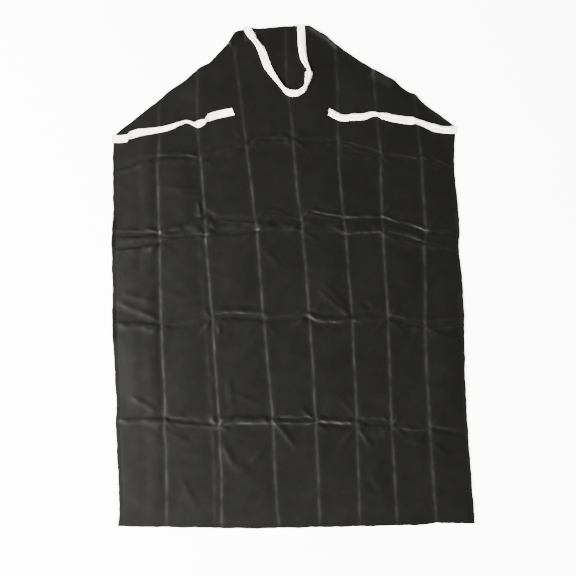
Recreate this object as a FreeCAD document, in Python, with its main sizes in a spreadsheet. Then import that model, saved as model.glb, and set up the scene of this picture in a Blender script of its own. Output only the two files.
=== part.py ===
"""A folded-for-storage shielding bib apron, lying open on its back with its front up.

The bonded sheet is a front cover turned over a thin lead-filled core and a back cover. It bends at
two straight storage folds, so it is made as three panels. A neck loop and two waist ties of flat
tape are sewn to the back and come round the edge to lie on the front.

X is across the apron, +Y is towards the neck, +Z is up, and the sheet's back rests on Z = 0.
"""

import FreeCAD, Part
import math
import os

import Sketcher

SIZES = {
    "skirt_width": 900.0,       # side edge to side edge
    "shoulder_width": 260.0,    # between the upper ends of the bib's long slopes
    "bib_width": 212.0,         # top edge, corner to corner
    "hem_y": -650.0,            # bottom edge
    "waist_y": 370.0,           # where each straight side turns into the slope of the bib
    "shoulder_y": 622.0,        # where each slope turns up to the top edge
    "top_y": 649.6,             # top edge, which the neck tape goes round
    "middle_fold_y": -135.0,    # storage fold that closes front to front
    "lower_fold_y": -395.0,     # storage fold that closes back to back
    "fold_gap": 0.3,            # slit between two panels at a fold
    "cover_thick": 0.4,         # rubber-coated cover
    "core_thick": 0.6,          # lead-filled vinyl
    "hem_width": 10.0,          # turned-back edge of the front cover
    "tape_width": 20.0,
    "tape_thick": 0.4,
    "tape_lift": 0.3,           # clearance under the free tapes
    "tab_length": 40.0,         # sewn length of tape on the back
    "notch_play": 0.2,          # room beside a tape in the turned-back edge
    "stitch_length": 2.4,
    "stitch_pitch": 3.0,
    "stitch_width": 0.4,
    "stitch_height": 0.2,
}

# Centre lines of the free tapes on the front, each from the edge it comes round.
NECK_LOOP_ROUTE = [
    (-91.0, 650.0), (-91.0, 630.0), (-72.0, 604.0), (-41.0, 551.0), (-12.0, 495.0), (19.0, 462.0),
    (57.0, 467.0), (73.0, 520.0), (55.0, 575.0), (52.0, 616.0), (52.0, 650.0),
]
LEFT_TIE_ROUTE = [
    (-450.4, 355.0), (-405.0, 355.0), (-368.0, 369.0), (-300.0, 384.0), (-256.0, 397.0),
    (-226.0, 387.0), (-196.0, 403.0), (-133.0, 420.0),
]
RIGHT_TIE_ROUTE = [
    (450.4, 354.0), (416.0, 354.0), (372.0, 371.0), (335.0, 382.0), (297.0, 388.0), (262.0, 397.0),
    (230.0, 402.0), (195.0, 397.0), (160.0, 396.0), (120.0, 408.0),
]
ARC_SHARE = 0.45                # share of the shorter run that a corner's arc uses at each end

# Heights of the bonded layers, as expressions on the sheet of sizes.
COVER = "Sizes.cover_thick"
CORE_Z = "(2 * Sizes.cover_thick)"
FRONT_Z = "(2 * Sizes.cover_thick + Sizes.core_thick)"
SHEET_THICK = "(3 * Sizes.cover_thick + Sizes.core_thick)"

doc = FreeCAD.newDocument("apron")
subparts = []


def fill_sizes():
    sheet = doc.addObject("Spreadsheet::Sheet", "Sizes")
    for row, (alias, size) in enumerate(SIZES.items(), start=1):
        sheet.set(f"A{row}", alias)
        sheet.set(f"B{row}", str(size))
        sheet.setAlias(f"B{row}", alias)
    doc.recompute()
    return sheet


sizes_sheet = fill_sizes()


def value(expression):
    """The number that an expression on the sizes gives."""
    result = sizes_sheet.evalExpression(str(expression))
    return float(getattr(result, "Value", result))


def new_body(name):
    body = doc.addObject("PartDesign::Body", name)
    body.Label = name
    subparts.append(body)
    return body


def new_sketch(body, name, plane, height):
    """A sketch on one of the body's own origin planes, moved along its normal."""
    sketch = body.newObject("Sketcher::SketchObject", name)
    support = next(item for item in body.Origin.OriginFeatures if item.Role == plane)
    sketch.AttachmentSupport = [(support, "")]
    sketch.MapMode = "FlatFace"
    sketch.setExpression("AttachmentOffset.Base.z", str(height))
    return sketch


def closed_outline(sketch, corners):
    """Straight edges between corners, each corner bound to its pair of expressions."""
    points = [FreeCAD.Vector(value(across), value(up), 0) for across, up in corners]
    for start, end in zip(points, points[1:] + points[:1]):
        sketch.addGeometry(Part.LineSegment(start, end))
    for index, corner in enumerate(corners):
        following = (index + 1) % len(corners)
        sketch.addConstraint(Sketcher.Constraint("Coincident", index, 2, following, 1))
        for kind, expression in zip(("DistanceX", "DistanceY"), corner):
            size = value(expression)
            row = sketch.addConstraint(Sketcher.Constraint(kind, -1, 1, index, 1, size))
            sketch.setExpression(f"Constraints[{row}]", str(expression))


def pad(body, name, corners, height, thickness):
    sketch = new_sketch(body, f"{name}_outline", "XY_Plane", height)
    closed_outline(sketch, corners)
    feature = body.newObject("PartDesign::Pad", name)
    feature.Profile = sketch
    feature.setExpression("Length", thickness)
    doc.recompute()
    return feature


def pocket(body, name, corners, height, depth):
    """Cuts upwards from the given height."""
    sketch = new_sketch(body, f"{name}_outline", "XY_Plane", height)
    closed_outline(sketch, corners)
    before = body.Shape.Volume
    feature = body.newObject("PartDesign::Pocket", name)
    feature.Profile = sketch
    feature.Reversed = True
    feature.setExpression("Length", depth)
    doc.recompute()
    if not body.Shape.Volume < before:
        raise RuntimeError(f"{body.Label}: {name} cuts nothing")
    return feature


# How far the bib's edges lean in from the upright: its long slope, then its shoulder.
SLOPE = "atan((Sizes.skirt_width - Sizes.shoulder_width) / 2 / (Sizes.shoulder_y - Sizes.waist_y))"
SHOULDER = "atan((Sizes.shoulder_width - Sizes.bib_width) / 2 / (Sizes.top_y - Sizes.shoulder_y))"


def inset_corner(width, height, leans, inset):
    """A right-hand corner of the outline, moved in by inset from the edges below and above it."""
    below, above = leans
    spread = f"(1 + cos({below} - {above}))"
    across = f"({width} / 2 - {inset} * (cos({below}) + cos({above})) / {spread})"
    up = f"({height} - {inset} * (sin({below}) + sin({above})) / {spread})"
    return across, up


def panel_corners(panel, inset):
    """The panel's outline, moved in by inset from the apron's edge but not from its folds."""
    side = f"(Sizes.skirt_width / 2 - {inset})"
    rectangle_ends = {
        "lower": (f"Sizes.hem_y + {inset}", "Sizes.lower_fold_y - Sizes.fold_gap / 2"),
        "middle": ("Sizes.lower_fold_y + Sizes.fold_gap / 2", "Sizes.middle_fold_y - Sizes.fold_gap / 2"),
    }
    if panel in rectangle_ends:
        low, high = rectangle_ends[panel]
        right = [(side, low), (side, high)]
    else:
        right = [
            (side, "Sizes.middle_fold_y + Sizes.fold_gap / 2"),
            inset_corner("Sizes.skirt_width", "Sizes.waist_y", ("0 deg", SLOPE), inset),
            inset_corner("Sizes.shoulder_width", "Sizes.shoulder_y", (SLOPE, SHOULDER), inset),
            inset_corner("Sizes.bib_width", "Sizes.top_y", (SHOULDER, "90 deg"), inset),
        ]
    left = [(f"-{across}", up) for across, up in reversed(right)]
    return right + left


def side_notch(tie_y, sign):
    """Room for a waist tie in the turned-back edge, at the left (-1) or right (1) side."""
    outer = f"{sign} * (Sizes.skirt_width / 2 + 1)"
    inner = f"{sign} * (Sizes.skirt_width / 2 - Sizes.hem_width)"
    half = "(Sizes.tape_width / 2 + Sizes.notch_play)"
    return [(outer, f"{tie_y} - {half}"), (inner, f"{tie_y} - {half}"),
            (inner, f"{tie_y} + {half}"), (outer, f"{tie_y} + {half}")]


def top_notch(tape_x):
    """Room for an end of the neck loop in the turned-back top edge."""
    half = "(Sizes.tape_width / 2 + Sizes.notch_play)"
    low = "Sizes.top_y - Sizes.hem_width"
    high = "Sizes.top_y + 1"
    return [(f"{tape_x} - {half}", low), (f"{tape_x} + {half}", low),
            (f"{tape_x} + {half}", high), (f"{tape_x} - {half}", high)]


def front_cover(panel):
    """The outer skin, with its edge turned round the core and back cover by the hem's width."""
    body = new_body(f"front_cover_{panel}")
    pad(body, f"{panel}_skin", panel_corners(panel, "0"), "0", SHEET_THICK)
    inside = f"({CORE_Z} + Sizes.core_thick - {COVER})"
    pocket(body, f"{panel}_core_space", panel_corners(panel, COVER), COVER, inside)
    pocket(body, f"{panel}_back_space", panel_corners(panel, "Sizes.hem_width"), "0", COVER)
    if panel == "upper":
        notches = {
            "left_tie_notch": side_notch(LEFT_TIE_ROUTE[0][1], -1),
            "right_tie_notch": side_notch(RIGHT_TIE_ROUTE[0][1], 1),
            "left_neck_notch": top_notch(NECK_LOOP_ROUTE[0][0]),
            "right_neck_notch": top_notch(NECK_LOOP_ROUTE[-1][0]),
        }
        for name, corners in notches.items():
            pocket(body, name, corners, "0", COVER)


def inner_layer(layer, panel, height, thickness):
    """A flat layer that fills the front cover inside its turned-back edge."""
    body = new_body(f"{layer}_{panel}")
    pad(body, f"{layer}_{panel}_sheet", panel_corners(panel, COVER), height, thickness)


def sewn_tab(name, plane, centre, edge, inward):
    """Tape sewn on the back, with its end turned up round the apron's edge.

    edge is the edge's coordinate across the fold, inward is 1 or -1 towards the apron's middle, and
    centre places the tape along the edge. The section is drawn on plane and padded by the tape's width.
    """
    body = new_body(name)
    outer = f"({edge} - {inward} * Sizes.tape_thick)"
    end = f"({edge} + {inward} * Sizes.tab_length)"
    # Seen along +Y the plane's first axis is X; seen along +X it is Y.
    corners = [(end, "0"), (outer, "0"), (outer, SHEET_THICK),
               (edge, SHEET_THICK), (edge, "Sizes.tape_thick"), (end, "Sizes.tape_thick")]
    # The XZ plane's normal is -Y, and the YZ plane's is +X.
    along = centre if plane == "YZ_Plane" else -centre
    sketch = new_sketch(body, f"{name}_section", plane, along)
    closed_outline(sketch, nonzero(corners))
    feature = body.newObject("PartDesign::Pad", f"{name}_tape")
    feature.Profile = sketch
    feature.Midplane = True
    feature.setExpression("Length", "Sizes.tape_width")
    doc.recompute()


def nonzero(corners):
    """Writes a zero height as an expression that a distance can hold."""
    return [(across, up if up != "0" else "0 * Sizes.tape_thick") for across, up in corners]


def route_pieces(route):
    """The route as straight runs joined by tangent arcs, as large as the runs allow."""
    points = [FreeCAD.Vector(across, up, 0) for across, up in route]
    pieces = []
    radii = []
    reached = points[0]
    for before, corner, after in zip(points, points[1:], points[2:]):
        arriving = (corner - before).normalize()
        leaving = (after - corner).normalize()
        turn = arriving.getAngle(leaving)
        setback = ARC_SHARE * min(corner.distanceToPoint(before), corner.distanceToPoint(after))
        radii.append(setback / math.tan(turn / 2))
        arc_start = corner - arriving * setback
        arc_end = corner + leaving * setback
        towards_centre = (leaving - arriving).normalize()
        centre = corner + towards_centre * (radii[-1] / math.cos(turn / 2))
        arc_middle = centre - towards_centre * radii[-1]
        pieces.append(Part.LineSegment(reached, arc_start))
        pieces.append(Part.Arc(arc_start, arc_middle, arc_end))
        reached = arc_end
    pieces.append(Part.LineSegment(reached, points[-1]))
    return pieces, radii


def free_tape(name, route, plane):
    """Flat tape swept along its route just above the front cover."""
    body = new_body(name)
    middle_z = f"({SHEET_THICK} + Sizes.tape_lift + Sizes.tape_thick / 2)"
    spine = new_sketch(body, f"{name}_route", "XY_Plane", middle_z)
    pieces, radii = route_pieces(route)
    for piece in pieces:
        spine.addGeometry(piece)
    start_x, start_y = route[0]
    along, centre = (start_x, start_y) if plane == "YZ_Plane" else (-start_y, start_x)
    section = new_sketch(body, f"{name}_section", plane, along)
    low = f"{centre} - Sizes.tape_width / 2"
    high = f"{centre} + Sizes.tape_width / 2"
    bottom = f"{middle_z} - Sizes.tape_thick / 2"
    top = f"{middle_z} + Sizes.tape_thick / 2"
    closed_outline(section, [(low, bottom), (high, bottom), (high, top), (low, top)])
    doc.recompute()
    feature = body.newObject("PartDesign::AdditivePipe", f"{name}_tape")
    feature.Profile = section
    feature.Spine = (spine, [f"Edge{number}" for number in range(1, len(pieces) + 1)])
    doc.recompute()
    length = sum(piece.length() for piece in pieces)
    expected = length * value("Sizes.tape_width * Sizes.tape_thick")
    print(f"{name}: {length:.1f} mm, volume / expected {body.Shape.Volume / expected:.4f}, radii",
          " ".join(f"{radius:.0f}" for radius in radii))


def stitch(name, centre, size):
    """One visible thread on the front face, at its centre."""
    box = doc.addObject("Part::Box", name)
    for side, length in zip(("Length", "Width"), size):
        box.setExpression(side, length)
    box.setExpression("Height", "Sizes.stitch_height")
    box.setExpression("Placement.Base.x", f"{centre[0]} - {size[0]} / 2")
    box.setExpression("Placement.Base.y", f"{centre[1]} - {size[1]} / 2")
    box.setExpression("Placement.Base.z", SHEET_THICK)
    return box


def stitching(name, centre, along_x):
    """A sewn rectangle that holds a tab: two rows along the tape and two across it."""
    long_half = value("Sizes.tab_length") / 2 - 5
    short_half = value("Sizes.tape_width") / 2 - 3
    pitch = value("Sizes.stitch_pitch")
    threads = []
    rows = ((long_half, short_half, True), (short_half, long_half, False))
    for reach, offset, follows_tape in rows:
        count = int(2 * reach / pitch)
        for step in range(count):
            travel = (step - (count - 1) / 2) * pitch
            for side in (-1, 1):
                runs_x = follows_tape == along_x
                shift = (travel, side * offset) if runs_x else (side * offset, travel)
                size = ["Sizes.stitch_length", "Sizes.stitch_width"]
                if not runs_x:
                    size.reverse()
                place = (centre[0] + shift[0], centre[1] + shift[1])
                threads.append(stitch(f"{name}_{len(threads) + 1}", place, size))
    group = doc.addObject("Part::Compound", name)
    group.Label = name
    group.Links = threads
    subparts.append(group)


def tab_centre(edge_expression, inward):
    return value(edge_expression) + inward * value("Sizes.tab_length") / 2


def build():
    for panel in ("upper", "middle", "lower"):
        front_cover(panel)
        inner_layer("core", panel, CORE_Z, "Sizes.core_thick")
        inner_layer("back_cover", panel, COVER, COVER)
    left_edge = "(-Sizes.skirt_width / 2)"
    right_edge = "(Sizes.skirt_width / 2)"
    tabs = {
        "neck_left": ("YZ_Plane", NECK_LOOP_ROUTE[0], "Sizes.top_y", -1),
        "neck_right": ("YZ_Plane", NECK_LOOP_ROUTE[-1], "Sizes.top_y", -1),
        "left_tie": ("XZ_Plane", LEFT_TIE_ROUTE[0], left_edge, 1),
        "right_tie": ("XZ_Plane", RIGHT_TIE_ROUTE[0], right_edge, -1),
    }
    for name, (plane, start, edge, inward) in tabs.items():
        along_x = plane == "XZ_Plane"
        sewn_tab(f"{name}_tab", plane, start[1] if along_x else start[0], edge, inward)
        middle = tab_centre(edge, inward)
        centre = (middle, start[1]) if along_x else (start[0], middle)
        stitching(f"{name}_stitching", centre, along_x)
    free_tape("neck_loop", NECK_LOOP_ROUTE, "XZ_Plane")
    free_tape("left_tie", LEFT_TIE_ROUTE, "YZ_Plane")
    free_tape("right_tie", RIGHT_TIE_ROUTE, "YZ_Plane")


def check():
    doc.recompute()
    for item in doc.Objects:
        if {"Invalid", "Error"} & set(item.State):
            raise RuntimeError(f"{item.Label} failed: {item.State}")
    for subpart in subparts:
        if subpart.Shape.isNull() or not subpart.Shape.isValid():
            raise RuntimeError(f"{subpart.Label} has no valid shape")


def export():
    os.makedirs("parts", exist_ok=True)
    for subpart in subparts:
        subpart.Shape.exportStep(f"parts/{subpart.Label}.step")


build()
check()
export()
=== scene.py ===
"""A creased black bib apron with white tape ties, lying open on a pale surface."""

import math

import bpy
import numpy as np
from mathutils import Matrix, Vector
from mathutils.bvhtree import BVHTree


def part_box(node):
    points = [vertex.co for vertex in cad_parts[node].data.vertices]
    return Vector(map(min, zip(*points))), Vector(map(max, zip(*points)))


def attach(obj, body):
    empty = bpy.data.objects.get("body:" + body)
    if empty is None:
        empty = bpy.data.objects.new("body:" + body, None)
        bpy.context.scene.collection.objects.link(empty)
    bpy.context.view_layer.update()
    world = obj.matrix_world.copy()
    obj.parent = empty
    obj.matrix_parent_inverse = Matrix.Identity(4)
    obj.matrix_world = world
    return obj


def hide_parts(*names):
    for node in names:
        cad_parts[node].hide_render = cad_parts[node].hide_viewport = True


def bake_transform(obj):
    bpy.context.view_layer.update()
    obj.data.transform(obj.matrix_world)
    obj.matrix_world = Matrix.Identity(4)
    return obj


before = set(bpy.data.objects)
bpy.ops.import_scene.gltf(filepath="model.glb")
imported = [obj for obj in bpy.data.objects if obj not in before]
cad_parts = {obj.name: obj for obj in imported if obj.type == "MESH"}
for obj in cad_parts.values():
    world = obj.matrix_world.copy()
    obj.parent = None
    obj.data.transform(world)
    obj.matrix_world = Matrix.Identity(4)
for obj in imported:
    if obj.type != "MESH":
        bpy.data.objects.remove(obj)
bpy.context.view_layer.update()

MM = 0.001

# ---------------- frame
TAPE_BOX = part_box("left_tie")
TAPE_LEVEL = (TAPE_BOX[0][2] + TAPE_BOX[1][2]) / 2
MIDDLE_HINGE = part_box("front_cover_upper")[0][1]
LOWER_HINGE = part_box("front_cover_middle")[0][1]

# ---------------- outline and creases, in millimetres
# Side edges and upright creases give X at a Y; hem, top edge and level creases give Y at an X.
LEFT_EDGE = [(-446, -642), (-442, -591), (-450, -380), (-447, -348), (-455, -172), (-457, -146),
             (-455, -38), (-457, 77), (-451, 179), (-452, 240), (-450, 362)]
RIGHT_EDGE = [(454, -659), (447, -430), (446, -298), (451, -114), (450, -31), (444, 50),
              (450, 84), (446, 198), (442, 237), (444, 280), (450, 364)]
UPRIGHT_CREASES = [
    [(-322, -640), (-321, -447), (-326, -394), (-322, -349), (-330, -124), (-331, 110), (-334, 293),
     (-328, 343), (-327, 456)],
    [(-184, -642), (-182, -518), (-187, -352), (-198, -115), (-211, 78), (-213, 170), (-222, 308),
     (-228, 381), (-226, 481)],
    [(-39, -646), (-44, -601), (-48, -381), (-66, -118), (-77, 90), (-92, 252), (-106, 394), (-126, 595)],
    [(63, -644), (64, -557), (59, -290), (52, -106), (40, 121), (31, 190), (22, 369), (10, 517), (12, 640)],
    [(164, -626), (165, -362), (162, -129), (154, 47), (141, 259), (141, 365), (144, 470), (141, 579)],
    [(258, -629), (253, -409), (254, -127), (248, 144), (251, 285), (243, 433), (240, 511)],
    [(357, -644), (350, -367), (349, -155), (355, -60), (355, 42), (362, 83), (357, 295), (346, 446)],
]
HEM = [(-446, -642), (-222, -651), (-112, -656), (168, -658), (333, -658), (360, -654), (454, -659)]
LOWER_FOLD = [(-448, -378), (-332, -379), (-187, -398), (-177, -388), (52, -391), (163, -401), (347, -416),
              (447, -430)]
MIDDLE_FOLD = [(-457, -131), (-332, -143), (-203, -127), (-173, -116), (-56, -127), (50, -121), (80, -138),
               (254, -137), (349, -159), (451, -152)]
DOUBLE_CREASE_LOW = [(-457, 64), (-332, 76), (-312, 89), (-203, 94), (-70, 100), (45, 96), (156, 89),
                     (247, 89), (354, 57), (447, 44)]
DOUBLE_CREASE_HIGH = [(-454, 106), (-333, 102), (-223, 131), (-202, 141), (-188, 127), (-85, 125),
                      (-14, 144), (36, 122), (69, 146), (144, 129), (253, 126), (362, 89), (447, 76)]
CHEST_CREASE = [(-452, 275), (-386, 294), (-337, 304), (-226, 298), (-100, 332), (-38, 352), (18, 342),
                (140, 333), (246, 298), (356, 282), (444, 250)]
TOP_EDGE = [(-450, 362), (-376, 421), (-322, 461), (-299, 483), (-257, 509), (-218, 544), (-195, 553),
            (-134, 616), (-128, 633), (-84, 649), (-66, 643), (11, 649), (73, 649), (120, 618),
            (145, 593), (244, 522), (293, 493), (329, 461), (349, 454), (364, 433), (450, 364)]

COLUMN_LINES = [LEFT_EDGE, *UPRIGHT_CREASES, RIGHT_EDGE]
ROW_LINES = [HEM, LOWER_FOLD, MIDDLE_FOLD, DOUBLE_CREASE_LOW, DOUBLE_CREASE_HIGH, CHEST_CREASE, TOP_EDGE]

# ---------------- tapes, in millimetres
NECK_LOOP_ROUTE = [
    (-91, 648.2), (-89, 638), (-75, 618), (-56, 590), (-47, 562), (-38, 534),
    (-19, 505), (-2, 480), (18, 462), (48, 464), (63, 487), (72, 524),
    (58, 552), (53, 585), (53, 620), (52, 650),
]
LEFT_TIE_ROUTE = [
    (-450.6, 355), (-418, 352), (-392, 369), (-350, 372), (-300, 379),
    (-256, 399), (-226, 383), (-199, 404), (-175, 412), (-133, 419),
]
RIGHT_TIE_ROUTE = [
    (450.6, 354), (420, 353), (388, 362), (350, 379), (325, 382), (290, 388),
    (256, 398), (236, 404), (208, 394), (180, 396), (160, 392), (140, 398),
    (118, 413),
]


def add_camera():
    """Looks down on the apron from 2 m, a little from the hem's side, with the 50 mm lens level."""
    data = bpy.data.cameras.new("camera")
    data.lens = 50.0
    data.sensor_width = 36.0
    data.sensor_fit = "HORIZONTAL"
    camera = bpy.data.objects.new("camera", data)
    camera.location = (-0.001, -0.227, 2.060)
    camera.rotation_mode = "ZYX"
    camera.rotation_euler = (math.radians(4.91), 0.0, math.radians(-1.55))
    bpy.context.collection.objects.link(camera)
    bpy.context.scene.camera = camera


add_camera()


# Flanks of the creases: (offset from the line, rise, half width), in millimetres. A flank with a
# positive rise climbs to the right on an upright crease, and towards the neck on a level one.
UPRIGHT_FLANKS = [
    [(0, 1.15, 3.8), (-14, -0.8, 7), (-44, 1.5, 14)],
    [(0, 1.3, 3.6)],
    [(-1, 1.6, 4.6)],
    [(-1, 1.7, 4.5)],
    [(0, 1.6, 4.2)],
    [(0, 1.8, 4.6)],
    [(-3, 2.4, 6)],
]
LEVEL_RISE = [1.5, 1.8, 2.0, 2.1, 2.2, 2.5, 2.4, 2.4]     # by column
UPRIGHT_STRENGTH = [0.85, 0.95, 0.95, 0.95, 1.0, 0.55]     # by row, from the hem up
SECOND_LINE_CREASE = 1
SECOND_LINE = (-19, 1.3, 4.5)                           # a flank beside that crease, in the lower rows
SECOND_LINE_STRENGTH = [1.0, 1.0, 0.5, 0.2, 0.15, 0.0]
LOWER_FOLD_FLANKS = [
    [(5, -2.4, 6), (-7, 1.6, 5)],
    [(10, 1.3, 4), (1, -1.3, 4), (-8, 1, 4)],
    [(12, -1.5, 4.5), (-5, 2.6, 7)],
    [(9, 1.5, 4), (2, -1.9, 4), (-6, 1.3, 4)],
    [(9, -1.9, 4.5), (-1, 2.5, 5.5), (-11, -1.2, 4)],
    [(13, 2.2, 6), (0, -1.7, 5), (-28, 1.5, 11)],
    [(2, -0.5, 4), (-8, 1.2, 4)],
    [(3, 1.3, 4), (-8, -1, 4)],
]
MIDDLE_FOLD_FLANKS = [
    [(7, -2.4, 8), (-8, 1.7, 6), (20, 0.8, 4)],
    [(3, 1, 4), (-9, -0.8, 4)],
    [(20, -1.2, 6), (9, 1.8, 4), (-8, -1, 5)],
    [(0, 0.9, 4), (-10, -0.6, 4)],
    [(18, 0.6, 4), (8, -1.7, 4), (-3, 2, 5)],
    [(22, 0.8, 4), (-3, 0.5, 4)],
    [(9, 1, 4), (-2, -0.6, 4)],
    [(20, -0.8, 4), (13, 0.8, 4), (1, -1.2, 4), (-10, 0.5, 4)],
]
DOUBLE_LOW_FLANKS = [
    [(24, -2, 5), (8, 1, 5), (-4, -1.8, 4), (-14, 0.6, 4)],
    [(20, 1.2, 4), (10, -0.6, 4), (5, 1.2, 4), (-1, -0.9, 4)],
    [(5, 0.7, 4), (-3, -1.4, 4)],
    [(21, -1.6, 6), (5, 0.4, 4)],
    [(10, 0.3, 4)],
    [(17, -1.2, 4), (7, -0.8, 4), (-1, 2, 4)],
    [(30, -1.2, 4), (5, 1.6, 4), (-1, -1.8, 4), (-12, 0.4, 4)],
    [(12, 0.8, 3), (7, -1.2, 3), (4, 0.8, 3), (-3, -1.2, 3), (-9, 1.2, 3)],
]
DOUBLE_HIGH_FLANKS = [
    [(11, -1.3, 4), (2, 1.9, 4.4), (-9, -1.7, 4), (-17, 1.4, 4)],
    [(6, -1.4, 4.5), (-7, 1, 5), (-20, 0.9, 4)],
    [(10, 1.6, 3.5), (3, -1.8, 4), (-20, 1.2, 4), (-28, -1.2, 4)],
    [(5, -0.7, 4), (-20, -0.8, 4)],
    [(10, -1, 4), (2, 2.2, 3.8), (-6, -0.4, 4)],
    [(11, -0.6, 4), (1, 2, 4.6), (-8, -1, 4)],
    [(9, -1, 4), (0, 1.9, 4.8), (-10, -1.3, 4)],
    [(16, 1, 4), (8, -1.6, 4), (2, 1, 3), (-12, 1.1, 4)],
]
CHEST_FLANKS = [
    [(6, 1.2, 5), (-8, -2, 4), (-20, 1.6, 5)],
    [(4, 0.9, 4), (-1, -0.9, 4), (-16, 1.4, 8)],
    [(4, -0.7, 4), (-5, 1, 4)],
    [(3, -1.9, 5), (-14, 1.9, 8)],
    [(0, 0.3, 5)],
    [(4, 0.9, 2.6), (-2, -0.8, 2.6), (-12, 0.4, 4)],
    [(6, -0.9, 4), (-2, 1.2, 4)],
    [(18, -1, 8), (3, 0.9, 4), (-4, -0.9, 4)],
]
LEVEL_CREASES = [
    (LOWER_FOLD, LOWER_FOLD_FLANKS), (MIDDLE_FOLD, MIDDLE_FOLD_FLANKS),
    (DOUBLE_CREASE_LOW, DOUBLE_LOW_FLANKS), (DOUBLE_CREASE_HIGH, DOUBLE_HIGH_FLANKS),
    (CHEST_CREASE, CHEST_FLANKS),
]
FALL_GAIN = 1.35        # flanks of the level creases that fall towards the neck are this much deeper
WRINKLE_GAIN = 1.7
# Single wrinkles: start, end, height before the gain (below 0 for a trough), half width.
WRINKLES = [
    ((-425, -54), (-338, -79), 0.8, 5), ((-438, -76), (-390, -98), 1.2, 5),
    ((-390, -98), (-336, -121), 1.6, 4), ((-435, -99), (-384, -115), -0.8, 5),
    ((-325, 223), (-220, 212), 0.7, 4), ((-276, 204), (-219, 196), 0.5, 4),
    ((-229, 180), (-220, 140), 1.2, 5), ((-248, 111), (-218, 89), 0.9, 6),
    ((-215, 158), (-179, 137), -1.6, 5), ((-179, 137), (-82, 128), -1, 4),
    ((-180, 124), (-128, 121), -0.9, 5), ((-128, 121), (-80, 106), -0.7, 5),
    ((-74, 139), (-49, 156), 0.8, 4), ((-49, 156), (3, 148), 0.7, 4),
    ((-35, 123), (-3, 106), -1, 5), ((-58, 50), (-20, 7), 0.6, 6),
    ((-322, -56), (-267, -62), 0.6, 4), ((-287, -72), (-228, -57), 0.6, 4),
    ((-281, -101), (-216, -81), 0.7, 5), ((-28, -62), (15, -25), 0.6, 4),
    ((-61, -70), (-22, -55), 0.5, 4), ((-147, 306), (-106, 320), 1.2, 4),
    ((-97, 330), (-74, 344), -1, 4), ((-74, 344), (21, 341), -1, 5),
    ((-405, -320), (-341, -357), 1.4, 5), ((-172, -451), (-147, -503), 1.2, 8),
    ((-147, -503), (-113, -504), 1.4, 8), ((-113, -504), (-69, -454), 1, 8),
    ((-158, -288), (-153, -349), 0.8, 7), ((-49, -386), (3, -449), 1.2, 4),
    ((-38, -384), (15, -471), 0.9, 4), ((-144, -318), (-68, -351), 0.7, 5),
    ((-323, -404), (-254, -444), 0.6, 5), ((-281, -530), (-244, -607), 0.5, 6),
    ((-182, -143), (-178, -167), 1, 4), ((127, -339), (161, -379), 0.9, 4),
    ((163, -412), (115, -461), 1.1, 5), ((172, -417), (202, -462), 1.2, 5),
    ((200, -355), (250, -364), -1.2, 12), ((301, -452), (336, -448), 0.8, 7),
    ((361, -461), (392, -486), 0.7, 4), ((313, -144), (349, -164), -1.2, 5),
    ((368, -165), (438, -153), 0.9, 4), ((373, -176), (443, -198), 0.9, 4),
    ((165, -618), (193, -594), 0.5, 5), ((187, -543), (217, -581), -0.5, 8),
    ((82, -60), (152, -124), 1.3, 4), ((96, -50), (158, -112), 1, 4),
    ((150, 311), (222, 300), 0.9, 3.5), ((152, 296), (236, 287), 0.9, 3.5),
    ((195, -95), (214, -112), -1.2, 6), ((54, 143), (130, 128), 1.3, 4),
    ((40, -128), (75, -142), -0.9, 5), ((28, 120), (-6, 128), 0.7, 4),
    ((366, 290), (428, 250), -0.8, 6), ((372, 272), (436, 230), 0.8, 6),
    ((-224, 445), (-222, 505), 1.8, 38),
]
# Stretches of the edge that curl: start, end, width, height at the edge.
EDGE_CURLS = [
    ((60, 655), (160, 578), 17, 4.2), ((236, 526), (304, 480), 30, 6),
    ((-140, 600), (-98, 645), 26, 5), ((340, 462), (450, 366), 12, 1.2),
    ((452, -60), (452, -190), 16, 1.5), ((-457, 60), (-457, 150), 14, 1.6),
    ((-458, -90), (-458, -180), 16, 1.8), ((446, 60), (450, 140), 12, 1.2),
    ((-90, 652), (40, 652), 10, 0.8),
]
CURL_ENDS = 0.15        # share of a curl's length over which it rises at either end
# Paleness along the creases, partly stress-whitened wear and partly a painted highlight on the crease
# ridges:
WEAR_AND_HIGHLIGHT_STRENGTH = [0.75, 0.85, 0.85, 0.8, 0.9, 0.5]         # by row, from the hem up
LEVEL_WEAR_AND_HIGHLIGHT = [0.2, 0.12] * 4                              # by column
UPRIGHT_WEAR_AND_HIGHLIGHT_WIDTH = 3.6
LEVEL_WEAR_AND_HIGHLIGHT_WIDTH = 3.0


# ---------------- the sheet's surface
SHEET_THICK = 1.8
SHEET_LIFT = 1.3        # how high the creased sheet stands off the floor between its low places
LIFT_WIDTH = 60.0       # and how far inside the edge it is fully lifted
EDGE_RELIEF = 0.25      # share of the relief that is left at the very edge
EDGE_CALM = 30.0        # and how far inside the edge all of it is there
TAB_ROOM = 1.1          # room under the sheet for a sewn tape end
TAB_FADE = 14.0         # how far from a sewn end the sheet comes back to its own height
PUCKER_START = 3.2      # above this height the relief is eased
PUCKER_ROOM = 1.8       # and rises at most this much further
FLOOR_PRESS = 2.5       # how sharply the sheet flattens where it meets the floor, per millimetre
HEM_WIDTH = 10.0
HEM_GROOVE = 0.25       # depth and half width of the line at the end of the turned-back hem
GROOVE_WIDTH = 1.8
CELL = 5.5              # grid spacing away from the creases
CREASE_STEPS = [0.0, 1.6, 3.2, 5.0, 7.0, 9.5, 12.5, 16.0, 20.0]
COLUMNS = 8
COLUMN_WIDTH = 112.0    # a field's usual width and, by row, usual height, which set its number of cells
ROW_HEIGHTS = [256.0, 256.0, 218.0, 36.0, 200.0, 260.0]
NARROW_ROW = 3          # between the two lines of the double crease
ROW_LEVELS = [-650, -395, -135, 83, 120, 315, 600]      # a first guess at where the rows part
SLOPE_STEP = 6.0        # to each side of the place where the top edge's slope is taken
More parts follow.
